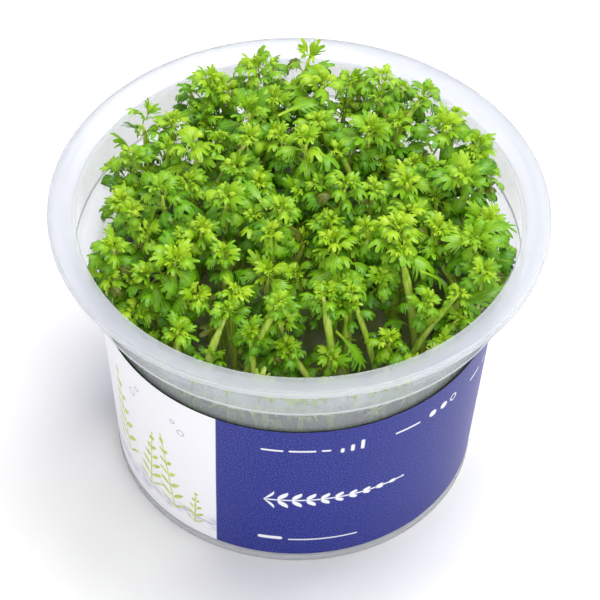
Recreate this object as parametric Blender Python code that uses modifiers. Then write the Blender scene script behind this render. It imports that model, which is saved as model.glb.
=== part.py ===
# Featherfoil grown from cuttings in a clear plastic growing cup, with a card label round it.
# Metres, +Z up. The origin is the middle of the cup's underside, and its front faces -Y.

from math import atan2, cos, hypot, pi, radians, sin

import bmesh
import bpy
from mathutils import Matrix, Vector

MM = 0.001

# Cup, measured outside unless a name says otherwise
CUP_HEIGHT = 69.0 * MM
RIM_RADIUS = 52.0 * MM
RIM_EDGE = 1.5 * MM
RIM_SLOPE = 1.4 * MM
MOUTH_RADIUS = 46.1 * MM
BAND_BOTTOM = 56.3 * MM
BAND_RADIUS = 46.7 * MM
WALL_TOP_RADIUS = 42.4 * MM
WALL_FOOT_RADIUS = 38.6 * MM
WALL = 0.8 * MM
FLOOR = 1.2 * MM
FOOT_RADIUS = 38.9 * MM
FOOT_HEIGHT = 1.7 * MM
CUP_STEPS = 48

# Label and gel
GAP = 0.3 * MM
LABEL_THICKNESS = 0.3 * MM
LABEL_BOTTOM = 2.5 * MM
LABEL_TOP = 45.9 * MM
GEL_TOP = 22.0 * MM
GEL_CREEP = 0.6 * MM
GEL_CREEP_WIDTH = 3.0 * MM

# Shoots
STEM_RADIUS = 0.75 * MM
STEM_POINTS = 5
STEM_SWIRL = radians(7)
SPLAY_IN = 1.22
SPLAY_OUT = 8.5
LEAF_COUNT = 8
TIER_COUNT = 6
LEAF_TURN = radians(137)
HEAD_DROP = 0.95
WALL_CLEARANCE = 0.5 * MM
WALL_AZIMUTHS = [radians(turn) for turn in range(-30, 31, 10)]

# One row a shoot, in millimetres: x, y and height of the middle of its leaves, and their reach
SHOOTS = [
    (0.5, 35, 80, 6.5),
    (-10, 33, 74, 9),
    (-20, 30, 73, 7.5),
    (-31, 22, 70, 8),
    (4, 27, 75, 9.5),
    (17, 29, 75, 8.5),
    (-22, 11, 71, 10),
    (-35, 10, 68, 9),
    (-11, 18, 75, 10),
    (14, 14, 74, 10),
    (30, 17, 73, 10),
    (1, 9, 75, 10),
    (-28, -3, 71, 10),
    (-15, -4, 72, 9.5),
    (-4, -8, 73, 9),
    (9, -3, 74, 9.5),
    (34, 3, 72, 11),
    (-37.5, -14, 66.5, 9),
    (-25, -17, 66, 10),
    (22, 3, 70, 9.5),
    (7, -14, 69, 10),
    (20, -12, 71, 10.5),
    (36, -12, 69, 10.5),
    (-13, -21, 61, 10),
    (-24, -28, 57, 9.5),
    (-3, -26, 59, 10),
    (10, -24, 61, 10),
    (26, -22, 61, 11),
]


# Materials
def make_material(name, colour, roughness, transmission=0.0):
    material = bpy.data.materials.new(name)
    material.use_nodes = True
    shader = material.node_tree.nodes["Principled BSDF"]
    shader.inputs["Base Color"].default_value = (*colour, 1.0)
    shader.inputs["Roughness"].default_value = roughness
    shader.inputs["Metallic"].default_value = 0.0
    shader.inputs["Transmission Weight"].default_value = transmission
    return material


# Turned pieces
def turn_profile(name, points, closed, material, parts):
    edges = [(i, i + 1) for i in range(len(points) - 1)]
    if closed:
        edges.append((len(points) - 1, 0))
    mesh = bpy.data.meshes.new(name)
    mesh.from_pydata([(radius, 0, height) for radius, height in points], edges, [])
    mesh.materials.append(material)
    piece = bpy.data.objects.new(name, mesh)
    parts.objects.link(piece)
    screw = piece.modifiers.new("Turn", "SCREW")
    screw.steps = CUP_STEPS
    screw.render_steps = CUP_STEPS
    screw.use_merge_vertices = True
    screw.merge_threshold = 0.00001
    screw.use_smooth_shade = True
    return piece


def wall_radius(height):
    rise = (height - FOOT_HEIGHT) / (BAND_BOTTOM - FOOT_HEIGHT)
    return WALL_FOOT_RADIUS + rise * (WALL_TOP_RADIUS - WALL_FOOT_RADIUS)


def make_cup(material, parts):
    inner_foot = wall_radius(FLOOR) - WALL
    inner_top = WALL_TOP_RADIUS - WALL
    inner_band = BAND_RADIUS - WALL
    rim_low = CUP_HEIGHT - RIM_SLOPE
    points = [
        (0, FLOOR),
        (inner_foot - 0.9 * MM, FLOOR),
        (inner_foot, FLOOR + 0.9 * MM),
        (inner_top, BAND_BOTTOM),
        (inner_top + 0.4 * MM, BAND_BOTTOM + WALL),
        (inner_band - 0.4 * MM, BAND_BOTTOM + WALL + 0.1 * MM),
        (inner_band, BAND_BOTTOM + WALL + 0.5 * MM),
        (MOUTH_RADIUS, rim_low - 0.7 * MM),
        (MOUTH_RADIUS + 0.4 * MM, rim_low),
        (RIM_RADIUS - 0.5 * MM, CUP_HEIGHT),
        (RIM_RADIUS, CUP_HEIGHT - 0.2 * MM),
        (RIM_RADIUS + 0.1 * MM, CUP_HEIGHT - RIM_EDGE),
        (RIM_RADIUS - 0.8 * MM, CUP_HEIGHT - RIM_EDGE),
        (RIM_RADIUS - 0.9 * MM, CUP_HEIGHT - RIM_EDGE + 0.4 * MM),
        (MOUTH_RADIUS + 1.2 * MM, rim_low - 0.8 * MM),
        (MOUTH_RADIUS + 0.8 * MM, rim_low - 1.3 * MM),
        (BAND_RADIUS, BAND_BOTTOM + 0.4 * MM),
        (BAND_RADIUS - 0.4 * MM, BAND_BOTTOM),
        (WALL_TOP_RADIUS + 0.3 * MM, BAND_BOTTOM - 0.1 * MM),
        (WALL_TOP_RADIUS, BAND_BOTTOM - 0.6 * MM),
        (WALL_FOOT_RADIUS, FOOT_HEIGHT),
        (FOOT_RADIUS, FOOT_HEIGHT - 0.2 * MM),
        (FOOT_RADIUS, 0.4 * MM),
        (FOOT_RADIUS - 0.5 * MM, 0),
        (0, 0),
    ]
    turn_profile("cup", points, False, material, parts)


def make_label(material, parts):
    inner_top = wall_radius(LABEL_TOP) + GAP
    inner_bottom = wall_radius(LABEL_BOTTOM) + GAP
    points = [
        (inner_top + LABEL_THICKNESS, LABEL_TOP),
        (inner_bottom + LABEL_THICKNESS, LABEL_BOTTOM),
        (inner_bottom, LABEL_BOTTOM),
        (inner_top, LABEL_TOP),
    ]
    turn_profile("label", points, True, material, parts)


def make_gel(material, parts):
    edge = GEL_TOP + GEL_CREEP
    bottom = FLOOR + GAP
    side_top = wall_radius(edge) - WALL - GAP
    side_bottom = wall_radius(bottom) - WALL - GAP
    points = [
        (0, GEL_TOP),
        (side_top - GEL_CREEP_WIDTH, GEL_TOP),
        (side_top, edge),
        (side_bottom, bottom + 1.2 * MM),
        (side_bottom - 1.2 * MM, bottom),
        (0, bottom),
    ]
    turn_profile("gel", points, False, material, parts)


# Where each shoot stands
def shoot_layout():
    layout = []
    for x, y, height, reach in SHOOTS:
        middle = Vector((x, y, height)) * MM
        reach = reach * MM
        layout.append((middle, reach, stem_route(middle, reach)))
    return layout


# The cuttings stand splayed: the outer ones lean out to the wall, and the inner ones lean in
def stem_route(middle, reach):
    out = hypot(middle.x, middle.y)
    azimuth = atan2(middle.y, middle.x)
    foot_out = out * (SPLAY_IN - SPLAY_OUT * out)
    foot_height = GEL_TOP + GAP
    foot_azimuth = azimuth + STEM_SWIRL
    foot = Vector((foot_out * cos(foot_azimuth), foot_out * sin(foot_azimuth), foot_height))
    bend = Vector((middle.x, middle.y, middle.z - 2.2 * reach))
    top = middle + (bend - middle).normalized() * HEAD_DROP * reach
    points = []
    for i in range(STEM_POINTS):
        along = i / (STEM_POINTS - 1)
        low = foot.lerp(bend, along)
        high = bend.lerp(top, along)
        points.append(low.lerp(high, along))
    return points


def make_stem(name, route, material, parts):
    curve = bpy.data.curves.new(name, "CURVE")
    curve.dimensions = "3D"
    curve.bevel_depth = STEM_RADIUS
    curve.bevel_resolution = 2
    curve.use_fill_caps = True
    spline = curve.splines.new("POLY")
    spline.points.add(len(route) - 1)
    for i, place in enumerate(route):
        spline.points[i].co = (*place, 1)
        spline.points[i].radius = 1.15 - 0.3 * i / (len(route) - 1)
    curve.materials.append(material)
    stem = bpy.data.objects.new(name, curve)
    parts.objects.link(stem)


# The planes that keep a head of leaves clear of its neighbours, as an outward normal and a distance
def planes_to_neighbours(index, layout):
    middle, reach, route = layout[index]
    planes = []
    for other, (place, other_reach, other_route) in enumerate(layout):
        if other == index:
            stem_top = route[-1] - middle
            planes.append((stem_top.normalized(), stem_top.length - GAP))
            continue
        apart = place - middle
        share = reach / (reach + other_reach)
        planes.append((apart.normalized(), (apart.length - GAP) * share))
        for start, end in zip(other_route, other_route[1:]):
            near = nearest_on_run(middle, start, end) - middle
            planes.append((near.normalized(), near.length - STEM_RADIUS * 1.15 - GAP))
    return planes


def nearest_on_run(place, start, end):
    run = end - start
    along = (place - start).dot(run) / run.length_squared
    return start + run * min(1.0, max(0.0, along))


# The cup's wall and its ledge, as planes round the side that the leaves face
def planes_to_cup(middle):
    azimuth = atan2(middle.y, middle.x)
    inner_top = WALL_TOP_RADIUS - WALL - WALL_CLEARANCE
    inner_band = BAND_RADIUS - WALL - WALL_CLEARANCE
    ledge = BAND_BOTTOM + WALL + WALL_CLEARANCE
    planes = []
    for turn in WALL_AZIMUTHS:
        out = Vector((cos(azimuth + turn), sin(azimuth + turn), 0))
        planes.append((out, inner_band - middle.dot(out)))
        if middle.z > ledge:
            slant = (out - Vector((0, 0, 1))).normalized()
        else:
            taper = (WALL_TOP_RADIUS - WALL_FOOT_RADIUS) / BAND_BOTTOM
            slant = (out - Vector((0, 0, taper))).normalized()
        corner = out * inner_top + Vector((0, 0, ledge))
        planes.append((slant, (corner - middle).dot(slant)))
    return planes


# A head of leaves is a round of leaf tips and notches in staggered tiers
def make_leaves(name, index, layout, material, parts):
    middle, reach, _ = layout[index]
    planes = planes_to_neighbours(index, layout) + planes_to_cup(middle)
    shell = bmesh.new()
    bmesh.ops.create_uvsphere(shell, u_segments=2 * LEAF_COUNT, v_segments=TIER_COUNT, radius=1)
    turn = Matrix.Rotation(index * LEAF_TURN, 3, "Z")
    for vert in shell.verts:
        way = vert.co.normalized()
        tilt = way.z
        flat = hypot(way.x, way.y)
        tier = round((pi / 2 - atan2(tilt, flat)) / (pi / TIER_COUNT))
        wave = cos(LEAF_COUNT * atan2(way.y, way.x) + pi * tier)
        spread = 0.84 + 0.16 * wave * flat
        spread *= 1 - 0.38 * max(0.0, tilt) ** 2
        spread *= 1 + 0.15 * max(0.0, -tilt)
        way = turn @ way
        away = reach * spread
        for normal, limit in planes:
            facing = way.dot(normal)
            if facing > 0.001:
                away = min(away, limit / facing)
        vert.co = middle + way * away
    mesh = bpy.data.meshes.new(name)
    shell.to_mesh(mesh)
    shell.free()
    mesh.materials.append(material)
    mesh.shade_smooth()
    mesh.set_sharp_from_angle(angle=radians(40))
    leaves = bpy.data.objects.new(name, mesh)
    parts.objects.link(leaves)


def build_featherfoil():
    for thing in list(bpy.data.objects):
        bpy.data.objects.remove(thing, do_unlink=True)
    parts = bpy.data.collections.new("featherfoil in a growing cup")
    bpy.context.scene.collection.children.link(parts)
    plastic = make_material("Clear moulded polypropylene", (0.78, 0.80, 0.86), 0.3, 0.7)
    card = make_material("Printed label card", (0.05, 0.07, 0.32), 0.55)
    agar = make_material("Nutrient gel", (0.55, 0.58, 0.42), 0.15, 0.5)
    stalk = make_material("Pale green stem", (0.42, 0.55, 0.12), 0.4)
    blade = make_material("Feathery green leaf", (0.13, 0.33, 0.03), 0.5)
    make_cup(plastic, parts)
    make_label(card, parts)
    make_gel(agar, parts)
    layout = shoot_layout()
    for index, (_, _, route) in enumerate(layout):
        make_stem(f"stem_{index + 1:02d}", route, stalk, parts)
        make_leaves(f"leaves_{index + 1:02d}", index, layout, blade, parts)


build_featherfoil()
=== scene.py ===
# Featherfoil shoots in a clear growing cup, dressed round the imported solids
import math
import random

import bmesh
import bpy
from mathutils import Matrix, Vector


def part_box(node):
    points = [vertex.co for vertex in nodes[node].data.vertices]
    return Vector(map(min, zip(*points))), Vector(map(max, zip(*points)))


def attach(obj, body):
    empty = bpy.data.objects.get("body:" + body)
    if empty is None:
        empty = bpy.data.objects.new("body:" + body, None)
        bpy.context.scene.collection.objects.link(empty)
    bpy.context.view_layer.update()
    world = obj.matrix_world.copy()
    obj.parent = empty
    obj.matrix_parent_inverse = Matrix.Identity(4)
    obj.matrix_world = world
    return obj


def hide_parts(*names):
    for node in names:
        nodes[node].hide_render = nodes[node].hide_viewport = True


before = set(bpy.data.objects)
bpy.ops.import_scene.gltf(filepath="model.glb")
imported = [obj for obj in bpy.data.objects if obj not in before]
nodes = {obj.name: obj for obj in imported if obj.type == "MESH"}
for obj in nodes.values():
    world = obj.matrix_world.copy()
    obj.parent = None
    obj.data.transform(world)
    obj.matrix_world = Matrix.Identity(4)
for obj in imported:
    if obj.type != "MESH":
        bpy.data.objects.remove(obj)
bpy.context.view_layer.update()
mm = 0.001
print("frame loaded:", len(nodes), "solids")


# small helpers

def linearColour(hexValue):
    channels = [int(hexValue[i:i + 2], 16) / 255 for i in (1, 3, 5)]
    linear = [c / 12.92 if c <= 0.04045 else ((c + 0.055) / 1.055) ** 2.4 for c in channels]
    return (*linear, 1.0)


def addNode(tree, kind, inputs=None, **settings):
    node = tree.nodes.new(kind)
    for name, value in settings.items():
        setattr(node, name, value)
    for name, value in (inputs or {}).items():
        if isinstance(value, bpy.types.NodeSocket):
            tree.links.new(value, node.inputs[name])
        else:
            node.inputs[name].default_value = value
    return node


def newMaterial(name, **constants):
    material = bpy.data.materials.new(name)
    material.use_nodes = True
    tree = material.node_tree
    shader = tree.nodes["Principled BSDF"]
    for socket, value in constants.items():
        shader.inputs[socket.replace("_", " ")].default_value = value
    return material, tree, shader


def setRamp(node, stops):
    ramp = node.color_ramp
    while len(ramp.elements) > 1:
        ramp.elements.remove(ramp.elements[-1])
    ramp.elements[0].position, ramp.elements[0].color = stops[0][0], linearColour(stops[0][1])
    for place, colour in stops[1:]:
        ramp.elements.new(place).color = linearColour(colour)


def mottle(tree, place, spacing, detail, stops):  # a noise, and the colours that it is turned to
    noise = addNode(tree, "ShaderNodeTexNoise", {
        "Vector": place, "Scale": 1 / spacing, "Detail": detail}).outputs[0]
    tint = addNode(tree, "ShaderNodeValToRGB", {"Fac": noise})
    setRamp(tint, stops)
    return noise, tint.outputs["Color"]


def finishPiece(name, bm, materials, smoothAngle=None):
    mesh = bpy.data.meshes.new(name)
    bm.to_mesh(mesh)
    bm.free()
    for material in materials:
        mesh.materials.append(material)
    mesh.shade_smooth()
    if smoothAngle is not None:
        mesh.set_sharp_from_angle(angle=math.radians(smoothAngle))
    piece = bpy.data.objects.new(name, mesh)
    bpy.context.scene.collection.objects.link(piece)
    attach(piece, "root")
    return piece


# cup: clear polypropylene, turned from one profile

cupShape = {  # millimetres unless a note says otherwise
    "rimEdge": 1.5,
    "rimSlope": 1.4,
    "mouth": 46.1,
    "bandBottom": 56.3,
    "bandRadius": 46.7,
    "wallTop": 42.4,
    "wallFoot": 38.6,
    "wall": 0.8,
    "floor": 1.2,
    "footRadius": 39.3,
    "footHeight": 1.8,
    "rounding": 0.2,
    "bead": 0.2,  # how far it stands out from the band
    "lip": 0.1,  # how far the rim's edge leans out
    "floorBend": 0.9,
    "turnSteps": 180,  # faces round the cup
    "flowLineSpacing": 2.2,
    "flowRange": (0.35, 0.65),  # where nearly all of the flow lines' noise lies
    "milkDepth": 4.0,  # how far light runs in the plastic before it scatters
    "wallCover": 0.3,  # share of what is behind that each side of the plastic hides
    "rimCover": 0.6,
    "edgeCover": 0.75,
}
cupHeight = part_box("cup")[1].z / mm
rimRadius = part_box("cup")[1].x / mm - cupShape["lip"]


def mouldedPlastic(name, hazeFrom, hazeTo, pale, deep, **constants):  # its flow lines run round the cup
    low, high = cupShape["flowRange"]
    material, tree, shader = newMaterial(name, Metallic=0.0, IOR=1.49, **constants)
    place = addNode(tree, "ShaderNodeTexCoord").outputs["Object"]
    flat = addNode(tree, "ShaderNodeVectorMath", {0: place, 1: (1, 1, 0)}, operation="MULTIPLY").outputs[0]
    radius = addNode(tree, "ShaderNodeVectorMath", {0: flat}, operation="LENGTH").outputs["Value"]
    facing = addNode(tree, "ShaderNodeVectorMath", {0: flat}, operation="NORMALIZE").outputs[0]
    bearing = addNode(tree, "ShaderNodeSeparateXYZ", {0: facing})
    spacing = 1 / (cupShape["flowLineSpacing"] * mm)
    across = addNode(tree, "ShaderNodeMath", {0: radius, 1: spacing}, operation="MULTIPLY").outputs[0]
    height = addNode(tree, "ShaderNodeSeparateXYZ", {0: place}).outputs[2]
    level = addNode(tree, "ShaderNodeMath", {0: height, 1: spacing}, operation="MULTIPLY").outputs[0]
    spot = addNode(tree, "ShaderNodeCombineXYZ", {0: bearing.outputs[0], 1: bearing.outputs[1], 2: across})
    flow = addNode(tree, "ShaderNodeTexNoise", {
        "Vector": spot.outputs[0], "W": level, "Scale": 1.0, "Detail": 3.0},
        noise_dimensions="4D").outputs[0]
    tint = addNode(tree, "ShaderNodeValToRGB", {"Fac": flow})
    setRamp(tint, [(low, deep), (high, pale)])
    tree.links.new(tint.outputs["Color"], shader.inputs["Base Color"])
    haze = addNode(tree, "ShaderNodeMapRange", {
        "Value": flow, "From Min": low, "From Max": high, "To Min": hazeFrom, "To Max": hazeTo})
    tree.links.new(haze.outputs[0], shader.inputs["Roughness"])
    wave = addNode(tree, "ShaderNodeBump", {"Height": flow, "Strength": 0.1, "Distance": 0.1 * mm})
    tree.links.new(wave.outputs[0], shader.inputs["Normal"])
    return material


# injection moulded polypropylene: clear in the thin wall, milkier in the rim, the ledge and the foot. The
# wall's grey tone is painted shade, and the bead's paler plastic is partly a painted highlight
def cupPlastics():
    milk = {
        "Subsurface_Weight": 1.0,
        "Subsurface_Radius": (1, 1, 1),
        "Subsurface_Scale": cupShape["milkDepth"] * mm,
    }
    # the flow lines are the plastic's own; the wall's overall grey is painted shade, standing in for the
    # darker inside of the cup
    wall = mouldedPlastic("Thin clear polypropylene wall greyed as painted shade", 0.06, 0.13, "#D0D4DB", "#C2C7D0",
                          Alpha=cupShape["wallCover"])
    rim = mouldedPlastic("Milky polypropylene rim", 0.14, 0.24, "#D8DBE5", "#CCD0DC",
                         Transmission_Weight=0.5, Alpha=cupShape["rimCover"], **milk)
    # on the bead this paler plastic is partly a painted highlight
    edge = mouldedPlastic("Frosted thick polypropylene edge", 0.2, 0.3, "#DFE1EA", "#D3D6E0",
                          Transmission_Weight=0.35, Alpha=cupShape["edgeCover"], **milk)
    return [wall, rim, edge]


def wallAt(height):  # the wall's outer radius at a height, both in millimetres
    rise = (height - cupShape["footHeight"]) / (cupShape["bandBottom"] - cupShape["footHeight"])
    return cupShape["wallFoot"] + rise * (cupShape["wallTop"] - cupShape["wallFoot"])


def turnProfile(profile, closed=False):  # radius and height of each point in millimetres
    bm = bmesh.new()
    verts = [bm.verts.new((radius * mm, 0, height * mm)) for radius, height in profile]
    edges = [bm.edges.new(pair) for pair in zip(verts, verts[1:])]
    if closed:
        edges.append(bm.edges.new((verts[-1], verts[0])))
    bmesh.ops.spin(bm, geom=verts + edges, cent=(0, 0, 0), axis=(0, 0, 1), angle=math.tau,
                   steps=cupShape["turnSteps"], use_merge=True)
    bmesh.ops.remove_doubles(bm, verts=bm.verts, dist=0.01 * mm)
    bmesh.ops.recalc_face_normals(bm, faces=bm.faces)
    return bm


def roundRings(bm, width, sharpFrom=25):  # rounds every ring that turns by more than so many degrees
    sharp = [edge for edge in bm.edges
             if edge.is_manifold and edge.calc_face_angle() > math.radians(sharpFrom)]
    bmesh.ops.bevel(bm, geom=sharp, offset=width * mm, offset_type="OFFSET", segments=3, profile=0.5,
                    affect="EDGES", material=-1, clamp_overlap=True)


def makeCup():
    shape = cupShape
    wall, floor, floorBend = shape["wall"], shape["floor"], shape["floorBend"]
    mouth, band, ledge = shape["mouth"], shape["bandRadius"], shape["bandBottom"]
    wallTop, wallFoot = shape["wallTop"], shape["wallFoot"]
    footEdge, footTop = shape["footRadius"], shape["footHeight"]
    innerTop = wallTop - wall
    innerBand = band - wall
    innerFoot = wallAt(floor) - wall
    ledgeTop = ledge + wall
    beadOut = band + shape["bead"]
    rimLow = cupHeight - shape["rimSlope"]
    lipLow = cupHeight - shape["rimEdge"]
    profile = [
        (0, floor),
        (innerFoot - floorBend, floor),
        (innerFoot, floor + floorBend),
        (innerTop, ledge),
        (innerTop + 0.4, ledgeTop),
        (innerBand - 0.4, ledgeTop + 0.1),
        (innerBand, ledgeTop + 0.5),
        (mouth, rimLow - 0.7),
        (mouth + 0.4, rimLow),
        (rimRadius - 0.5, cupHeight),
        (rimRadius, cupHeight - 0.2),
        (rimRadius + shape["lip"], lipLow),
        (rimRadius - 0.8, lipLow),
        (rimRadius - 0.9, lipLow + 0.4),
        (mouth + 1.2, rimLow - 0.8),
        (mouth + 0.8, rimLow - 1.3),
        (band, ledge + 1.0),
        (beadOut, ledge + 0.55),
        (beadOut, ledge + 0.3),
        (band - 0.1, ledge),
        (wallTop + 0.3, ledge - 0.1),
        (wallTop, ledge - 0.6),
        (wallFoot, footTop),
        (footEdge, footTop - 0.2),
        (footEdge, 0.25),
        (footEdge - 0.3, 0),
        (0, 0),
    ]
    bm = turnProfile(profile)
    roundRings(bm, shape["rounding"])
    for face in bm.faces:  # frosted at the lip, the bead and the foot, milky at the rim and the floor; on the bead the paler frosted plastic is partly a painted highlight along its corner
        middle = face.calc_center_median()
        height, radius = middle.z / mm, math.hypot(middle.x, middle.y) / mm
        onLip = radius > rimRadius - 0.12 and height > lipLow - 0.1
        # the bead's faces, whose paler plastic is partly a painted highlight along the corner
        onBeadPaintedHighlight = radius > band - 0.05 and abs(height - ledge - 0.42) < 0.45
        onFoot = height < footTop + 0.4 and radius > wallFoot - 1
        milky = height > rimLow - 1.4 or height < footTop + 0.4
        # index 0 is the clear wall, whose grey tone is painted shade
        face.material_index = 2 if onLip or onBeadPaintedHighlight or onFoot else 1 if milky else 0
    cup = finishPiece("clear_cup", bm, cupPlastics(), 40)
    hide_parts("cup")


# label: a card sleeve, printed navy with one white panel

labelPrint = {  # millimetres round the sleeve from its front, and up from its lower edge
    "panelLeft": -62.0,
    "panelRight": -17.05,
    "panelLean": 0.03,
    "branches": [
        {"foot": (-44, 9), "height": 27, "lean": -0.06, "leaf": 5.2, "spacing": 4.2, "plump": 0.8},
        {"foot": (-35.5, 6), "height": 20, "lean": 0.12, "leaf": 4.4, "spacing": 3.5, "plump": 0.7},
        {"foot": (-28, 4), "height": 24, "lean": -0.1, "leaf": 4.0, "spacing": 3.6, "plump": 0.65},
        {"foot": (-22.5, 3), "height": 11, "lean": 0.08, "leaf": 2.8, "spacing": 2.6, "plump": 0.5},
    ],
    "bubbles": [(-39, 34, 0.9), (-37, 36.6, 0.6), (-24.4, 33, 0.8), (-26.4, 35.4, 0.5)],
    "bubbleLine": 0.12,  # half widths of the drawn lines
    "stalkLine": 0.2,
    "ringLine": 0.16,
    "leafSlope": 0.75,  # rise for each millimetre outwards
    "leafAtTop": 0.3,
    "ground": 5.0,
    "groundSwell": 9.0,
    "groundDepth": 2.6,
    "groundStrength": 0.75,  # share of its colour at its darkest
    "swellSpacing": 5.56,
    "paperGrain": 0.3125,
    "boardFibre": 1.11,  # coarser than real board has, so that it shows
    "leafMottle": 1.11,
    "strokes": (3.57, 0.52),  # length and width
    "strokeTurn": -0.25,  # radians
    "whiteSprig": {"foot": (-6, 19.6), "height": 31, "lean": 0.02, "leaf": 3.0, "spacing": 3.1, "plump": 0.8},
    "rules": [  # start, end and half width of each plain stroke
        ((-6.2, 37.0), (-2.2, 37.0), 0.26),
        ((-0.6, 37.0), (4.4, 36.9), 0.26),
        ((6.0, 36.9), (7.4, 36.8), 0.26),
        ((10.0, 35.9), (10.0, 36.6), 0.38),
        ((12.1, 35.9), (12.1, 37.3), 0.38),
        ((14.2, 35.9), (14.2, 38.2), 0.38),
        ((21.7, 36.8), (27.2, 36.7), 0.26),
        ((-6.8, 5.8), (-2.4, 5.8), 0.5),
        ((-0.4, 5.4), (14.6, 5.2), 0.2),
        ((44.0, 35.6), (48.0, 35.4), 0.26),
        ((50.6, 34.6), (52.4, 34.4), 0.26),
    ],
    "dots": [(30.8, 37.0, 0.95), (34.0, 37.0, 0.95)],
    "ring": (37.0, 37.0, 0.85),
}


def labelPlace(tree, around, tall):  # the print's own coordinates in millimetres, from the sleeve's map
    uv = addNode(tree, "ShaderNodeUVMap", uv_map="sleeve").outputs[0]
    split = addNode(tree, "ShaderNodeSeparateXYZ", {0: uv})
    across = addNode(tree, "ShaderNodeMath", {
        0: split.outputs[0], 1: around, 2: -around / 2}, operation="MULTIPLY_ADD")
    up = addNode(tree, "ShaderNodeMath", {0: split.outputs[1], 1: tall}, operation="MULTIPLY")
    return across.outputs[0], up.outputs[0]


def fadeMask(tree, inside, softness=0.12):  # 1 where the value is above 0, with a soft edge in millimetres
    return addNode(tree, "ShaderNodeMapRange", {
        "Value": inside, "From Min": -softness, "From Max": softness}).outputs[0]


def drawBranch(tree, along, across, branch):  # a stalk with leaves that shorten towards its top
    half = branch["spacing"] / 2
    footAcross, footAlong = branch["foot"]
    up = addNode(tree, "ShaderNodeMath", {0: along, 1: footAlong}, operation="SUBTRACT").outputs[0]
    lean = addNode(tree, "ShaderNodeMath", {0: up, 1: -branch["lean"], 2: across}, operation="MULTIPLY_ADD")
    side = addNode(tree, "ShaderNodeMath", {0: lean.outputs[0], 1: footAcross}, operation="SUBTRACT")
    out = addNode(tree, "ShaderNodeMath", {0: side.outputs[0]}, operation="ABSOLUTE").outputs[0]
    level = addNode(tree, "ShaderNodeMath", {
        0: out, 1: -labelPrint["leafSlope"], 2: up}, operation="MULTIPLY_ADD").outputs[0]
    near = addNode(tree, "ShaderNodeMath", {0: level, 1: half}, operation="PINGPONG").outputs[0]
    span = addNode(tree, "ShaderNodeMapRange", {
        "Value": level, "From Min": 0, "From Max": branch["height"],
        "To Min": branch["leaf"], "To Max": labelPrint["leafAtTop"]})
    part = addNode(tree, "ShaderNodeMath", {0: out, 1: span.outputs[0]}, operation="DIVIDE").outputs[0]
    rest = addNode(tree, "ShaderNodeMath", {0: 1.0, 1: part}, operation="SUBTRACT").outputs[0]
    swell = addNode(tree, "ShaderNodeMath", {0: part, 1: rest}, operation="MULTIPLY").outputs[0]
    plump = 4 * branch["plump"]  # the swell is a quarter at its fullest
    width = addNode(tree, "ShaderNodeMath", {0: swell, 1: plump}, operation="MULTIPLY").outputs[0]
    leaf = addNode(tree, "ShaderNodeMath", {0: width, 1: near}, operation="SUBTRACT").outputs[0]
    stalk = addNode(tree, "ShaderNodeMath", {
        0: labelPrint["stalkLine"], 1: out}, operation="SUBTRACT").outputs[0]
    drawn = addNode(tree, "ShaderNodeMath", {0: leaf, 1: stalk}, operation="MAXIMUM").outputs[0]
    above = addNode(tree, "ShaderNodeMath", {0: drawn, 1: level}, operation="MINIMUM").outputs[0]
    top = addNode(tree, "ShaderNodeMath", {0: branch["height"], 1: up}, operation="SUBTRACT").outputs[0]
    kept = addNode(tree, "ShaderNodeMath", {0: above, 1: top}, operation="MINIMUM").outputs[0]
    return fadeMask(tree, kept)


def drawRule(tree, point, rule):  # a straight stroke with round ends
    start, end, half = rule
    run = (end[0] - start[0], end[1] - start[1])
    fromStart = addNode(tree, "ShaderNodeVectorMath", {
        0: point, 1: (*start, 0)}, operation="SUBTRACT").outputs[0]
    reach = addNode(tree, "ShaderNodeVectorMath", {0: fromStart, 1: (*run, 0)}, operation="DOT_PRODUCT")
    share = addNode(tree, "ShaderNodeMapRange", {
        "Value": reach.outputs["Value"], "From Min": 0, "From Max": run[0] ** 2 + run[1] ** 2}).outputs[0]
    nearest = addNode(tree, "ShaderNodeVectorMath", {
        0: (*run, 0), "Scale": share}, operation="SCALE").outputs[0]
    gap = addNode(tree, "ShaderNodeVectorMath", {0: fromStart, 1: nearest}, operation="DISTANCE")
    inside = addNode(tree, "ShaderNodeMath", {
        0: half, 1: gap.outputs["Value"]}, operation="SUBTRACT").outputs[0]
    return fadeMask(tree, inside)


def drawDisc(tree, point, disc, hollow=0.0):  # a dot, or a ring where hollow gives its line's half width
    across, up, radius = disc
    away = addNode(tree, "ShaderNodeVectorMath", {0: point, 1: (across, up, 0)}, operation="DISTANCE")
    inside = addNode(tree, "ShaderNodeMath", {
        0: radius, 1: away.outputs["Value"]}, operation="SUBTRACT").outputs[0]
    if hollow:
        line = addNode(tree, "ShaderNodeMath", {0: inside}, operation="ABSOLUTE").outputs[0]
        inside = addNode(tree, "ShaderNodeMath", {0: hollow, 1: line}, operation="SUBTRACT").outputs[0]
    return fadeMask(tree, inside)


def joinMasks(tree, masks):
    joined = masks[0]
    for mask in masks[1:]:
        joined = addNode(tree, "ShaderNodeMath", {0: joined, 1: mask}, operation="MAXIMUM").outputs[0]
    return joined


def layColour(tree, under, mask, colour):
    mixed = addNode(tree, "ShaderNodeMix", {"Factor": mask}, data_type="RGBA")
    for socket, value in (("A", under), ("B", colour)):
        target = [s for s in mixed.inputs if s.name == socket and s.type == "RGBA"][0]
        if isinstance(value, bpy.types.NodeSocket):
            tree.links.new(value, target)
        else:
            target.default_value = value
    return [s for s in mixed.outputs if s.type == "RGBA"][0]


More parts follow.
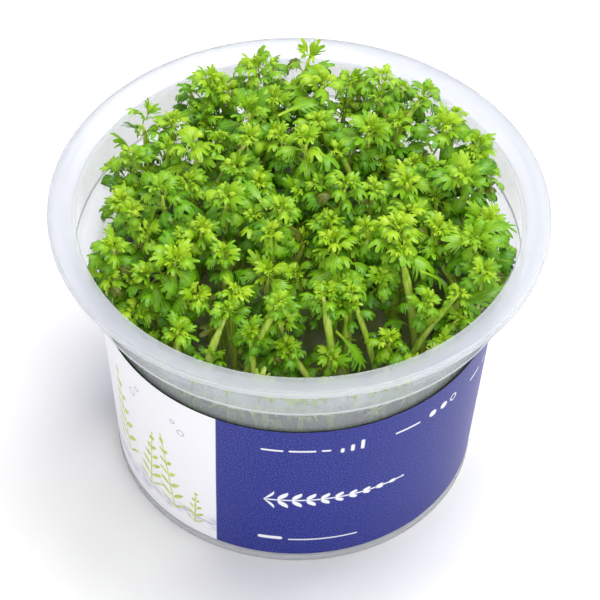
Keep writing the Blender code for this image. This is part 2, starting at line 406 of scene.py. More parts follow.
# coated label card, offset printed: satin navy with paper grain, white panel
def printedCard(around, tall):
    material, tree, shader = newMaterial(
        "Printed satin label card", Metallic=0.0, Roughness=0.45, IOR=1.4,
        Sheen_Weight=0.13, Sheen_Roughness=0.3, Sheen_Tint=linearColour("#E6D0F0"))
    across, up = labelPlace(tree, around, tall)
    point = addNode(tree, "ShaderNodeCombineXYZ", {0: across, 1: up}).outputs[0]
    grain, navy = mottle(tree, point, labelPrint["paperGrain"], 1.0, [
        (0.36, "#060F72"), (0.52, "#131F86"), (0.7, "#4453B0")])
    left = addNode(tree, "ShaderNodeMath", {
        0: across, 1: labelPrint["panelLeft"]}, operation="SUBTRACT").outputs[0]
    border = addNode(tree, "ShaderNodeMath", {
        0: up, 1: labelPrint["panelLean"], 2: labelPrint["panelRight"]}, operation="MULTIPLY_ADD").outputs[0]
    right = addNode(tree, "ShaderNodeMath", {0: border, 1: across}, operation="SUBTRACT").outputs[0]
    inPanel = addNode(tree, "ShaderNodeMath", {0: left, 1: right}, operation="MINIMUM").outputs[0]
    panel = fadeMask(tree, inPanel)
    colour = layColour(tree, navy, panel, linearColour("#F6F6FB"))
    swell = addNode(tree, "ShaderNodeTexNoise", {
        "Vector": point, "Scale": 1 / labelPrint["swellSpacing"], "Detail": 3.0}).outputs[0]
    rise = labelPrint["groundSwell"]
    ground = addNode(tree, "ShaderNodeMath", {
        0: swell, 1: rise, 2: labelPrint["ground"] - rise / 2}, operation="MULTIPLY_ADD").outputs[0]
    depth = addNode(tree, "ShaderNodeMath", {0: ground, 1: up}, operation="SUBTRACT").outputs[0]
    depth = addNode(tree, "ShaderNodeMath", {0: depth}, operation="ABSOLUTE").outputs[0]
    wash = addNode(tree, "ShaderNodeMapRange", {
        "Value": depth, "From Min": 0.0, "From Max": labelPrint["groundDepth"],
        "To Min": labelPrint["groundStrength"], "To Max": 0.0}).outputs[0]
    length, width = labelPrint["strokes"]
    brush = addNode(tree, "ShaderNodeMapping", {
        "Vector": point, "Rotation": (0, 0, labelPrint["strokeTurn"]),
        "Scale": (1 / length, 1 / width, 1)}).outputs[0]
    streaks = addNode(tree, "ShaderNodeTexNoise", {"Vector": brush, "Scale": 1.0, "Detail": 3.0}).outputs[0]
    strokes = addNode(tree, "ShaderNodeMapRange", {
        "Value": streaks, "From Min": 0.4, "From Max": 0.65}).outputs[0]
    shade = addNode(tree, "ShaderNodeMath", {0: wash, 1: strokes}, operation="MULTIPLY").outputs[0]
    shade = addNode(tree, "ShaderNodeMath", {0: shade, 1: panel}, operation="MULTIPLY").outputs[0]
    colour = layColour(tree, colour, shade, linearColour("#8886B4"))
    branches = joinMasks(tree, [drawBranch(tree, up, across, branch) for branch in labelPrint["branches"]])
    green = mottle(tree, point, labelPrint["leafMottle"], 2.0, [
        (0.35, "#A3B83A"), (0.5, "#C3D14E"), (0.65, "#DDE486")])[1]
    colour = layColour(tree, colour, branches, green)
    line = labelPrint["bubbleLine"]
    bubbles = joinMasks(tree, [drawDisc(tree, point, bubble, line) for bubble in labelPrint["bubbles"]])
    colour = layColour(tree, colour, bubbles, linearColour("#A8A6C8"))
    lying = dict(labelPrint["whiteSprig"])
    lying["foot"] = lying["foot"][::-1]
    sprig = drawBranch(tree, across, up, lying)
    marks = [sprig] + [drawRule(tree, point, rule) for rule in labelPrint["rules"]]
    marks += [drawDisc(tree, point, dot) for dot in labelPrint["dots"]]
    marks.append(drawDisc(tree, point, labelPrint["ring"], labelPrint["ringLine"]))
    colour = layColour(tree, colour, joinMasks(tree, marks), linearColour("#F4F4FA"))
    tree.links.new(colour, shader.inputs["Base Color"])
    tooth = addNode(tree, "ShaderNodeBump", {"Height": grain, "Strength": 0.15, "Distance": 0.02 * mm})
    tree.links.new(tooth.outputs[0], shader.inputs["Normal"])
    return material


def bareBack():  # the sleeve's unprinted side: white board, seen through the wall
    material, tree, shader = newMaterial("Bare back of label card", Metallic=0.0, Roughness=0.7, IOR=1.45)
    place = addNode(tree, "ShaderNodeTexCoord").outputs["Object"]
    tone = mottle(tree, place, labelPrint["boardFibre"] * mm, 2.0, [(0.3, "#E4E4E2"), (0.7, "#F2F2F0")])[1]
    tree.links.new(tone, shader.inputs["Base Color"])
    return material


def cutEdgePaintedShadow():  # the sleeve's cut edge: painted near black, as the shadow in the gap between the sleeve and the wall
    material, tree, shader = newMaterial("Cut edge of label card painted as shadow", Metallic=0.0, Roughness=0.8, IOR=1.45)
    place = addNode(tree, "ShaderNodeTexCoord").outputs["Object"]
    # near-black tones: painted shadow, not the card's own colour
    tone = mottle(tree, place, labelPrint["boardFibre"] * mm, 2.0, [(0.3, "#16181F"), (0.7, "#2A2D3A")])[1]
    tree.links.new(tone, shader.inputs["Base Color"])
    return material


def radiusAt(node, height):  # the widest and narrowest the solid is near a height, in millimetres
    near = [math.hypot(v.co.x, v.co.y) / mm for v in nodes[node].data.vertices
            if abs(v.co.z / mm - height) < 0.2]
    return max(near), min(near)


def makeLabel():
    low, high = (corner.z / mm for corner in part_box("label"))
    outerTop, innerTop = radiusAt("label", high)
    outerFoot, innerFoot = radiusAt("label", low)
    bm = turnProfile([(outerTop, high), (outerFoot, low), (innerFoot, low), (innerTop, high)], closed=True)
    sleeve = bm.loops.layers.uv.new("sleeve")
    for face in bm.faces:
        middle = face.calc_center_median()
        middleTurn = math.atan2(middle.x, -middle.y)
        outward = face.normal.dot(Vector((middle.x, middle.y, 0)).normalized())
        # outward faces get the print, inward faces the bare board, and the cut edges the near-black card that
        # is painted shadow
        face.material_index = 0 if outward > 0.9 else 2 if outward < -0.9 else 1
        for loop in face.loops:
            turn = math.atan2(loop.vert.co.x, -loop.vert.co.y)
            turn += math.tau * round((middleTurn - turn) / math.tau)
            loop[sleeve].uv = (turn / math.tau + 0.5, (loop.vert.co.z / mm - low) / (high - low))
    around = math.pi * (outerTop + outerFoot)
    label = finishPiece("card_label", bm, [printedCard(around, high - low), cutEdgePaintedShadow(), bareBack()], 30)
    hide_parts("label")


# gel: the cuttings' nutrient gel, poured and set

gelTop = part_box("gel")[1].z / mm
gelCloud = 8.3  # millimetres from one cloud to the next


def cloudyGel():  # agar gel: wet, cloudy and slightly green from the roots in it
    material, tree, shader = newMaterial(
        "Cloudy nutrient gel", Metallic=0.0, Roughness=0.08, IOR=1.34, Transmission_Weight=0.45)
    place = addNode(tree, "ShaderNodeTexCoord").outputs["Object"]
    cloud, tone = mottle(tree, place, gelCloud * mm, 4.0, [(0.3, "#6C7A3C"), (0.7, "#9CA66C")])
    tree.links.new(tone, shader.inputs["Base Color"])
    dimple = addNode(tree, "ShaderNodeBump", {"Height": cloud, "Strength": 0.3, "Distance": 0.3 * mm})
    tree.links.new(dimple.outputs[0], shader.inputs["Normal"])
    return material


def dressGel():
    gel = nodes["gel"]
    gel.data.materials.clear()
    gel.data.materials.append(cloudyGel())
    gel.data.shade_smooth()


# leaves

# Shares of the leaf's length and angles in degrees. Each step of a lobe's taper is a share of its reach
# and the width against the last step.
leafShapes = {
    "fan": {
        "rows": [0.0, 0.22, 0.37, 0.48, 0.59, 0.70],
        "halfWidths": [0.03, 0.032, 0.085, 0.15, 0.175, 0.085],
        "firstLobe": 2,
        "lobeReach": [0.17, 0.23, 0.24],
        "lobeForward": [32, 46, 64],
        "tipReach": 0.27,
        "lobeTaper": [(0.45, 0.85), (0.35, 0.85), (0.2, 0.45)],
    },
    "long": {
        "rows": [0.0, 0.22, 0.4, 0.5, 0.59, 0.68, 0.77, 0.85],
        "halfWidths": [0.03, 0.035, 0.06, 0.08, 0.09, 0.085, 0.07, 0.04],
        "firstLobe": 2,
        "lobeReach": [0.14, 0.19, 0.21, 0.2, 0.17],
        "lobeForward": [36, 42, 48, 54, 64],
        "tipReach": 0.16,
        "lobeTaper": [(0.25, 0.7), (0.5, 0.95), (0.25, 0.5)],
    },
}
leafMake = {
    "droop": 2.6,
    "bends": [55, 100, 145, 185],  # degrees
    "longBend": 35,
    "forms": 4,
    "longForms": 2,
    "tipSizes": (0.9, 1.1),
    "lobeTurn": 7,  # degrees
    "lobeLift": 0.15,
    "lobeSizes": (0.8, 1.15),
    "bendSteps": 20,
    "bendPower": 1.6,  # above 1 bends the leaf more towards its tip
    "keel": 0.25,  # how steeply the blade rises from its middle
    "keelWidth": 0.08,
    "narrowing": 0.15,
    "longest": 8.4,  # millimetres
    "veins": (0.323, 1.2),  # width and length in millimetres on the longest leaf
    "patches": 1.11,  # millimetres
    "oldShare": 0.05,  # of the older leaves, brown
}


def pullOut(bm, edges, way, taper):  # a finger of the leaf, drawn out of its edge in steps
    for share, narrow in taper:
        out = bmesh.ops.extrude_edge_only(bm, edges=edges)["geom"]
        verts = [g for g in out if isinstance(g, bmesh.types.BMVert)]
        edges = [g for g in out if isinstance(g, bmesh.types.BMEdge) and all(v in verts for v in g.verts)]
        middle = sum((v.co for v in verts), Vector()) / len(verts)
        for vert in verts:
            vert.co = middle + (vert.co - middle) * narrow + way * share


def makeLeafTemplate(kind, form, bend):
    rand = random.Random(form * 11 + 5)
    leafShape = leafShapes[kind]
    rows, halfWidths = leafShape["rows"], leafShape["halfWidths"]
    bm = bmesh.new()
    bmesh.ops.create_grid(bm, x_segments=2, y_segments=len(rows) - 1, size=0.5)
    columns = {}
    for vert in bm.verts:
        row = round((vert.co.y + 0.5) * (len(rows) - 1))
        side = round(vert.co.x * 2)
        columns[(side, row)] = vert
        vert.co = Vector((side * halfWidths[row], rows[row], 0))
    top = [bm.edges.get((columns[(side, len(rows) - 1)], columns[(0, len(rows) - 1)])) for side in (-1, 1)]
    tipReach = leafShape["tipReach"] * rand.uniform(*leafMake["tipSizes"])
    pullOut(bm, top, Vector((0, tipReach, 0)), leafShape["lobeTaper"])
    for side in (-1, 1):
        for lobe, reach in enumerate(leafShape["lobeReach"]):
            row = leafShape["firstLobe"] + lobe
            edge = bm.edges.get((columns[(side, row)], columns[(side, row + 1)]))
            turn = rand.uniform(-leafMake["lobeTurn"], leafMake["lobeTurn"])
            turn = math.radians(leafShape["lobeForward"][lobe] + turn)
            lift = rand.uniform(-leafMake["lobeLift"], leafMake["lobeLift"])
            way = Vector((side * math.cos(turn), math.sin(turn), lift))
            size = reach * rand.uniform(*leafMake["lobeSizes"])
            pullOut(bm, [edge], way * size, leafShape["lobeTaper"])
    flat = bm.loops.layers.uv.new("leaf")
    for face in bm.faces:
        for loop in face.loops:
            loop[flat].uv = (0.5 + loop.vert.co.x, loop.vert.co.y)
    bendLeaf(bm, bend)
    bmesh.ops.recalc_face_normals(bm, faces=bm.faces)
    mesh = bpy.data.meshes.new("leaf template")
    bm.to_mesh(mesh)
    bm.free()
    return mesh


def bendLeaf(bm, bend):  # the leaf arches over along its length, and its lobes droop at their ends
    steps, power = leafMake["bendSteps"], leafMake["bendPower"]
    line = [Vector((0, 0))]
    for i in range(steps):
        angle = -math.radians(bend) * ((i + 0.5) / steps) ** power
        line.append(line[-1] + Vector((math.cos(angle), math.sin(angle))) / steps)
    for vert in bm.verts:
        along = min(1.0, max(0.0, vert.co.y))
        place = min(steps - 1, int(along * steps))
        spot = line[place].lerp(line[place + 1], along * steps - place)
        angle = -math.radians(bend) * along ** power
        out = abs(vert.co.x)
        keel = leafMake["keel"] * min(out, leafMake["keelWidth"])
        height = vert.co.z + keel - leafMake["droop"] * out * out
        side = vert.co.x * (1 - leafMake["narrowing"] * out)
        vert.co = Vector((side, spot.x - math.sin(angle) * height, spot.y + math.cos(angle) * height))


def addLeaf(bm, template, place, tone, toneLayer):  # tone 0 is old and brown, 1 young and yellow-green
    before = len(bm.verts)
    facesBefore = len(bm.faces)
    bm.from_mesh(template)
    bm.verts.ensure_lookup_table()
    bm.faces.ensure_lookup_table()
    bmesh.ops.transform(bm, matrix=place, verts=bm.verts[before:])
    for face in bm.faces[facesBefore:]:
        face[toneLayer] = tone


# shoots

shootForm = {  # shares of the reach of the whole head, or as a note says
    "headDrop": 0.95,  # the solid head's middle above its stem's top
    "headTall": 1.4708,  # the solid head's top above its stem's top
    "bendDrop": 1.25,
    "stemFoot": 0.9,  # stem radii in millimetres
    "stemTop": 0.72,
    "stemTip": 0.3,
    "stemPoint": 0.15,  # share of a stem's length that thins to its tip
    "stemWaves": 0.10,  # share by which a stem swells and narrows along its length
    "waveTurn": 2.1,  # radians from one ring of a stem to the next
    "stemSides": 8,
    "stemSteps": 14,
    "streaks": (0.714, 5.95),  # width and length in millimetres
    "endRing": 0.8,  # millimetres from a solid stem's end that take in its last ring
    "tipAbove": 0.2,
    "whorlSize": 0.70,
    "openSize": 0.56,
    "branchSize": 0.52,
    "branchOut": 0.62,
    "slenderOut": 0.35,
    "branchDrop": 0.9,
    "branchTurn": 0.4,  # radians
    "branchSpread": (0.8, 1.2),  # of branchOut
    "branchSizes": (0.8, 1.15),  # of branchSize
    "branchLean": 0.35,  # against the upright
    "branchThickness": 0.72,  # against a shoot's stem
    "branchFrom": (0.5, 0.68),  # share of the way up the stem
    "branchKnee": 0.3,  # share of a branch's rise where it turns up
    "branches": 3,  # of each bushy shoot
    "longSize": 1.08,  # of a long leaf against the straight way to its tip
    "longTone": 0.5,
    "tipMoves": {1: (0.5, 0, -3.8), 4: (-2.6, -0.5, -2.0), 7: (0, 0, -2.0)},  # millimetres
    "slender": (8, 18, 10),  # the shoots that use slenderOut
}
headForm = {  # how far the leaves of a head differ
    "lean": 0.35,
    "turnStep": 0.25,  # radians
    "turnSpread": 0.45,
    "sizes": (0.7, 1.2),
    "girths": (0.85, 1.2),
    "riseMore": 12,  # degrees
    "riseSpread": 20,
    "rollSpread": 0.5,
    "dropSpread": 0.08,
    "stalkOut": 0.4,  # millimetres
    "curl": 1.5,  # in steps of the leaves' bends
    "curlWithAge": 1.5,
    "curlSpread": (-1.2, 1.0),
    "toneFoot": 0.15,
    "toneWithYouth": 0.75,
    "shades": (-0.12, 0.1),
    "toneSpread": 0.12,
    "darkest": 0.12,
    "oldBelow": 0.6,  # only a tier of less youth than this has brown leaves
}
bushyTiers = [  # drop from the tip and leaf length as shares of the reach, count, rise in degrees, youth
    (-0.24, 0.30, 4, 80, 1.0),
    (-0.18, 0.48, 5, 66, 0.95),
    (-0.06, 0.70, 5, 54, 0.85),
    (0.14, 0.90, 5, 42, 0.68),
    (0.44, 1.06, 5, 32, 0.5),
    (0.85, 1.14, 5, 24, 0.36),
    (1.35, 1.14, 4, 16, 0.2),
    (1.95, 1.05, 3, 10, 0.08),
]
slimTiers = [
    (-0.25, 0.50, 3, 78, 0.85),
    (-0.10, 0.72, 4, 56, 0.8),
    (0.30, 0.85, 3, 40, 0.7),
    (0.85, 0.9, 3, 30, 0.55),
    (1.6, 0.95, 3, 18, 0.4),
]
openTiers = bushyTiers[:4] + [(0.5, 1.0, 4, 32, 0.45), (1.5, 1.0, 2, 25, 0.3)]
slimShoots = (1, 4, 7)
openShoots = (24, 25, 26, 27, 28)
sideShoots = [  # x, y, height and reach in millimetres
    (26, 29, 74, 5), (-21, 25, 71, 4.5), (-27, 21, 71, 5), (-37, 2, 66, 5), (-15, -14, 67, 6),
    (-6, -17, 66, 6.5), (19, -27, 57, 5.5), (7, -30, 55, 5), (-9, -28, 60, 5), (-17, -31, 55, 5),
    (-4, -23, 63, 5), (5.6, -22, 66, 5), (11, -20, 66, 5), (-2, -30, 58, 4.5), (37, 17, 71, 5.5),
    (39, 8, 70, 5.5), (39, -5, 69, 5.5), (33, -20, 61, 5.5), (-33, -22, 58, 5.5), (-23, 4, 70, 5.5),
    (6, -8, 71, 5.5), (-13, 6, 73, 6), (20, 20, 73, 5.5), (-6, 25, 75, 5), (22, -3, 70, 6),
    (-31, -8, 67, 5.5), (14, -9, 71, 5), (28, -8, 70, 5.5), (-20, -9, 70, 5.5), (28, 8, 72, 5.5),
    (-8.5, 3, 71, 5), (-9.5, 7, 70, 4.5), (3, 18, 75, 5.5), (-17, 13, 74, 5), (30, -27, 57, 5),
    (-28, 14, 70, 4.5), (10, 32, 74, 5),
]
wallShoots = [  # bearing in degrees from the front, height and reach in millimetres
    (-52, 51, 5), (-31, 53, 5.5), (-20, 50, 5), (-9, 54, 6), (2, 50, 5.5), (11, 54, 5), (24, 51, 6),
    (38, 53, 5),
    (55, 50, 5.5), (74, 54, 5.5), (93, 51, 5.5), (112, 53, 5), (131, 50, 5.5), (152, 54, 5.5), (170, 51, 5),
    (-74, 53, 5.5), (-95, 50, 5.5), (-114, 54, 5), (-135, 51, 5.5), (-158, 53, 5.5),
]
longLeaves = [  # foot and tip in millimetres
    ((26, -24.5, 60), (42, -15.8, 67)),
    ((-29, 23, 68), (-22, 26, 73)),
    ((-16.7, 23.4, 71), (-25.6, 26.1, 69)),
    ((-5, 19, 76), (4, 23, 79)),
    ((-29.5, -3.5, 71), (-32.5, -9, 63)),
    ((-6.6, -7, 74), (-11, -0.5, 77)),
    ((34.5, -10, 71), (43.5, -6.5, 73)),
    ((24.8, -17.3, 68), (33, -15, 62)),
    ((8, -27, 60), (15, -31, 55)),
    ((-20, -20, 66), (-27, -24, 60)),
]
# A low point and the top in millimetres, the thickness against a shoot's stem, and the reach of its head
clearStems = [
    ((-17.9, -30.9, 54), (-13.8, -26.2, 64), 1.1, 5.0),
    ((-8.4, -31.5, 52), (-9.3, -29.2, 60), 0.9, 4.0),
    ((-6.9, -28.6, 60), (-3.4, -27.1, 68), 0.9, 4.0),
    ((2.0, -31.4, 52), (-1.8, -30.7, 58), 0.9, 4.0),
    ((6.9, -27.4, 58), (5.2, -26.1, 69), 1.1, 4.6),
    ((23.4, -18.2, 58), (20.7, -15.7, 72), 1.2, 4.6),
    ((27.2, -23.6, 58), (32.5, -21.7, 66), 0.8, 3.6),
    ((14.2, -25.1, 57), (10.8, -23.2, 67), 0.8, 3.8),
    ((-18.6, 6.5, 64), (-10.8, 10.4, 77.5), 1.25, 4.4),
    ((-27.7, 21.6, 64), (-29.3, 21.3, 70), 0.8, 3.4),
    ((-17.0, 29.9, 68), (-19.3, 29.9, 74), 0.8, 3.4),
    ((20.5, 20.1, 66), (16.1, 25.3, 76), 1.1, 3.6),
    ((20.4, 22.2, 69), (24.6, 24.6, 75.5), 0.9, 3.2),
    ((10.1, 8.9, 70), (7.7, 9.8, 75), 0.8, 3.4),
    ((29.9, -25.0, 56), (32.7, -23.7, 61), 0.8, 3.6),
]
pressedLeaves = [  # lowest and highest foot on the wall, bearings from and to, count
    (44.5, 50.5, -80, 80, 60),
    (45, 51, 80, 280, 60),
    (55, 58.5, -36, 38, 22),
]
pressedForm = {"sizes": (4, 8), "turn": 1.4, "tone": 1.0}  # millimetres, radians and leaf tone
rootHair = {  # millimetres, and shares of the length
    "radius": 0.11,
    "length": 9.0,
    "spread": (0.4, 0.9),
    "fall": 0.6,
    "knee": 0.6,
    "arch": 1.5,
    "from": (0.55, 0.8),  # share of the way up the stem
    "sides": 4,
    "steps": 8,
}
cupRoom = {  # millimetres between the cup and what grows in it
    "wall": 0.3,
    "ledge": 0.6,
    "mouth": 0.6,
    "rim": 0.3,
    "pressed": 0.5,  # a pressed leaf's foot
    "wallShoot": 3.2,  # a low shoot's tip
    "foot": 4.5,  # where a stem comes out of the gel
}


def readShoot(number):  # a shoot's place and size, from its two solids
    stem = f"stem_{number:02d}"
    low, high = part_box(stem)
    verts = [v.co for v in nodes[stem].data.vertices]
    near = shootForm["endRing"] * mm
    lowRing = [co for co in verts if co.z < low.z + near]
    highRing = [co for co in verts if co.z > high.z - near]
    foot = sum(lowRing, Vector()) / len(lowRing)
    top = sum(highRing, Vector()) / len(highRing)
    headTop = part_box(f"leaves_{number:02d}")[1].z
    reach = (headTop - top.z) / shootForm["headTall"]
    middle = top + Vector((0, 0, shootForm["headDrop"] * reach))
    bend = top - Vector((0, 0, shootForm["bendDrop"] * reach))
    return {"foot": foot, "bend": bend, "middle": middle, "reach": reach}


def arcPoint(start, bend, end, share):  # on the curve from start to end that is drawn towards bend
    return start.lerp(bend, share).lerp(bend.lerp(end, share), share)


def growTube(bm, route, radii, sides):  # a ring pulled along the route, closed at both ends
    ring = bmesh.ops.create_circle(bm, segments=sides, radius=radii[0])["verts"]
    edges = list(dict.fromkeys(e for v in ring for e in v.link_edges))
    aim = (route[1] - route[0]).to_track_quat("Z", "Y")
    bmesh.ops.transform(bm, matrix=Matrix.Translation(route[0]) @ aim.to_matrix().to_4x4(), verts=ring)
    rings = [list(ring)]
    for i in range(1, len(route)):
        ahead = route[min(i + 1, len(route) - 1)] - route[i - 1]
        nextAim = ahead.to_track_quat("Z", "Y")
        out = bmesh.ops.extrude_edge_only(bm, edges=edges)["geom"]
        ring = [g for g in out if isinstance(g, bmesh.types.BMVert)]
        edges = [g for g in out if isinstance(g, bmesh.types.BMEdge) and all(v in ring for v in g.verts)]
        turn = (nextAim @ aim.inverted()).to_matrix().to_4x4()
        size = Matrix.Scale(radii[i] / radii[i - 1], 4)
        move = Matrix.Translation(route[i]) @ turn @ size @ Matrix.Translation(-route[i - 1])
        bmesh.ops.transform(bm, matrix=move, verts=ring)
        aim = nextAim
        rings.append(ring)
    for end in (rings[0], rings[-1]):
        bmesh.ops.contextual_create(bm, geom=list(end))


def growStem(bm, foot, bend, tip, scale=1.0):
    steps, pointShare = shootForm["stemSteps"], shootForm["stemPoint"]
    thick, thin, point = (shootForm[part] * scale * mm for part in ("stemFoot", "stemTop", "stemTip"))
    route = [arcPoint(foot, bend, tip, i / steps) for i in range(steps + 1)]
    radii = []
    for i in range(steps + 1):
        share = i / steps
        radius = thick + (thin - thick) * share
        if share > 1 - pointShare:
            radius += (point - radius) * (share - (1 - pointShare)) / pointShare
        radii.append(radius * (1 + shootForm["stemWaves"] * math.cos(i * shootForm["waveTurn"])))
    growTube(bm, route, radii, shootForm["stemSides"])


def growThrough(bm, foot, low, top, scale):  # a stem from its foot in the gel, through a point low on it
    share = min(0.75, max(0.4, (low.z - foot.z) / (top.z - foot.z)))
    bend = (low - foot * (1 - share) ** 2 - top * share ** 2) / (2 * share * (1 - share))
    growStem(bm, foot, bend, top, scale)


def footBelow(low, top):  # where a leaning stem comes out of the gel
    back = (low - top) * 0.5 * (low.z - gelTop * mm) / (top.z - low.z)
    foot = Vector((low.x + back.x, low.y + back.y, gelTop * mm))
    out = math.hypot(foot.x, foot.y)
    limit = (wallAt(gelTop) - cupRoom["foot"]) * mm
    if out > limit:
        foot.x *= limit / out
        foot.y *= limit / out
    return foot


def growRoot(bm, shoot, tip, rand):  # a fine pale root hangs from the stem
    start = arcPoint(shoot["foot"], shoot["bend"], tip, rand.uniform(*rootHair["from"]))
    turn = rand.uniform(0, math.tau)
    length, steps = rootHair["length"], rootHair["steps"]
    out = Vector((math.cos(turn), math.sin(turn), 0)) * rand.uniform(*rootHair["spread"])
    end = start + (out - Vector((0, 0, rootHair["fall"]))) * length * mm
    knee = start + out * length * rootHair["knee"] * mm + Vector((0, 0, rootHair["arch"] * mm))
    route = [arcPoint(start, knee, end, i / steps) for i in range(steps + 1)]
    growTube(bm, route, [rootHair["radius"] * mm] * (steps + 1), rootHair["sides"])


def growHead(bm, toneLayer, templates, tip, reach, tiers, rand, lean=Vector()):  # tiers of leaves round a tip
    form = headForm

    def spread(part):
        return rand.uniform(-form[part], form[part])

    axis = (Vector((spread("lean"), spread("lean"), 1)) + lean).normalized()
    upright = axis.to_track_quat("Z", "Y").to_matrix().to_4x4()
    start = rand.uniform(0, math.tau)
    shade = rand.uniform(*form["shades"])
    for drop, length, count, rise, youth in tiers:
        start += 0.5 * math.tau / count + form["turnStep"]
        for leaf in range(count):
            turn = start + math.tau * leaf / count + spread("turnSpread")
            size = min(length * reach, leafMake["longest"] * mm) * rand.uniform(*form["sizes"])
            pitch = math.radians(rise + form["riseMore"] + spread("riseSpread"))
            curl = form["curl"] + form["curlWithAge"] * (1 - youth) + rand.uniform(*form["curlSpread"])
            template = rand.choice(templates[min(len(templates) - 1, max(0, int(curl)))])
            level = Matrix.Translation((0, 0, -(drop + spread("dropSpread")) * reach))
            aim = Matrix.Rotation(turn, 4, "Z") @ Matrix.Translation((0, form["stalkOut"] * mm, 0))
            tilt = Matrix.Rotation(pitch, 4, "X") @ Matrix.Rotation(spread("rollSpread"), 4, "Y")
            girth = Matrix.Diagonal((size * rand.uniform(*form["girths"]), size, size, 1))
            tone = youth * form["toneWithYouth"] + form["toneFoot"] + shade + spread("toneSpread")
            tone = min(1.0, max(form["darkest"], tone))
            if youth < form["oldBelow"] and rand.random() < leafMake["oldShare"]:
                tone = 0.0
            place = Matrix.Translation(tip) @ upright @ level @ aim @ tilt @ girth
            addLeaf(bm, template, place, tone, toneLayer)


# a wet leaf lies flat on the wall's inner side, and takes the piece's second material, which is paler
def pressLeaf(bm, toneLayer, template, bearing, height, rand):
    out = wallAt(height) if height < cupShape["bandBottom"] else cupShape["bandRadius"]
    facing = Vector((math.sin(bearing), -math.cos(bearing), 0))
    foot = facing * (out - cupShape["wall"] - cupRoom["pressed"]) * mm + Vector((0, 0, height * mm))
    turn = Matrix.Rotation(rand.uniform(-pressedForm["turn"], pressedForm["turn"]), 4, facing)
    flat = Matrix((Vector((0, 0, 1)).cross(facing), Vector((0, 0, 1)), facing)).transposed().to_4x4()
    size = Matrix.Scale(rand.uniform(*pressedForm["sizes"]) * mm, 4)
    before = len(bm.faces)
    addLeaf(bm, template, Matrix.Translation(foot) @ turn @ flat @ size, pressedForm["tone"], toneLayer)
    bm.faces.ensure_lookup_table()
    for face in bm.faces[before:]:
        face.material_index = 1


def keepInCup(bm):  # leaves and stems press against the wall and don't pass it
    ledge = cupShape["bandBottom"] + cupShape["wall"] + cupRoom["ledge"]
    for vert in bm.verts:
        height = vert.co.z / mm
        if height < ledge:
            limit = wallAt(height) - cupShape["wall"] - cupRoom["wall"]
        elif height < cupHeight + cupRoom["rim"]:
            limit = cupShape["mouth"] - cupRoom["mouth"]
        else:
            continue
        out = math.hypot(vert.co.x, vert.co.y) / mm
        if out > limit:
            vert.co.x *= limit / out
            vert.co.y *= limit / out


def leafGreen():  # leaf blade: waxy and bright, yellow-green while young, with fine veins and a pale stalk
    material, tree, shader = newMaterial(
        "Waxy feathery leaf", Metallic=0.0, Roughness=0.36, IOR=1.42)
    uv = addNode(tree, "ShaderNodeUVMap", uv_map="leaf").outputs[0]
    split = addNode(tree, "ShaderNodeSeparateXYZ", {0: uv})
    tone = addNode(tree, "ShaderNodeAttribute", attribute_name="leafTone").outputs["Fac"]
    place = addNode(tree, "ShaderNodeTexCoord").outputs["Object"]
    patches = addNode(tree, "ShaderNodeTexNoise", {
        "Vector": place, "Scale": 1 / (leafMake["patches"] * mm), "Detail": 2.0}).outputs[0]
    width, length = (leafMake["longest"] / size for size in leafMake["veins"])
    veinPlace = addNode(tree, "ShaderNodeMapping", {"Vector": uv, "Scale": (width, length, 1)}).outputs[0]
    veins = addNode(tree, "ShaderNodeTexNoise", {
        "Vector": veinPlace, "Scale": 1.0, "Detail": 2.0}).outputs[0]
    mixed = addNode(tree, "ShaderNodeMath", {
        0: veins, 1: 0.7, 2: -0.35}, operation="MULTIPLY_ADD").outputs[0]
    age = addNode(tree, "ShaderNodeMath", {0: tone, 1: mixed}, operation="ADD").outputs[0]
    blade = addNode(tree, "ShaderNodeValToRGB", {"Fac": age})
    setRamp(blade, [
        (0.0, "#6E6A22"), (0.08, "#34660A"), (0.35, "#55940E"), (0.7, "#82B614"), (1.0, "#AECE22")])
    side = addNode(tree, "ShaderNodeMath", {0: split.outputs[0], 1: 0.5}, operation="SUBTRACT").outputs[0]
    out = addNode(tree, "ShaderNodeMath", {0: side}, operation="ABSOLUTE").outputs[0]
    rib = addNode(tree, "ShaderNodeMapRange", {
        "Value": out, "From Min": 0.008, "From Max": 0.026, "To Min": 0.45, "To Max": 0.0}).outputs[0]
    along = split.outputs[1]
    fade = addNode(tree, "ShaderNodeMapRange", {
        "Value": along, "From Min": 0.55, "From Max": 0.85, "To Min": 1.0, "To Max": 0.0}).outputs[0]
    rib = addNode(tree, "ShaderNodeMath", {0: rib, 1: fade}, operation="MULTIPLY").outputs[0]
    stalk = addNode(tree, "ShaderNodeMapRange", {
        "Value": along, "From Min": 0.05, "From Max": 0.45, "To Min": 0.8, "To Max": 0.0}).outputs[0]
    pale = addNode(tree, "ShaderNodeMath", {0: rib, 1: stalk}, operation="MAXIMUM").outputs[0]
    colour = layColour(tree, blade.outputs["Color"], pale, linearColour("#B2D034"))
    tree.links.new(colour, shader.inputs["Base Color"])
    ridges = addNode(tree, "ShaderNodeMath", {0: veins, 1: patches}, operation="ADD").outputs[0]
    skin = addNode(tree, "ShaderNodeBump", {"Height": ridges, "Strength": 0.5, "Distance": 0.12 * mm})
    tree.links.new(skin.outputs[0], shader.inputs["Normal"])
    return material


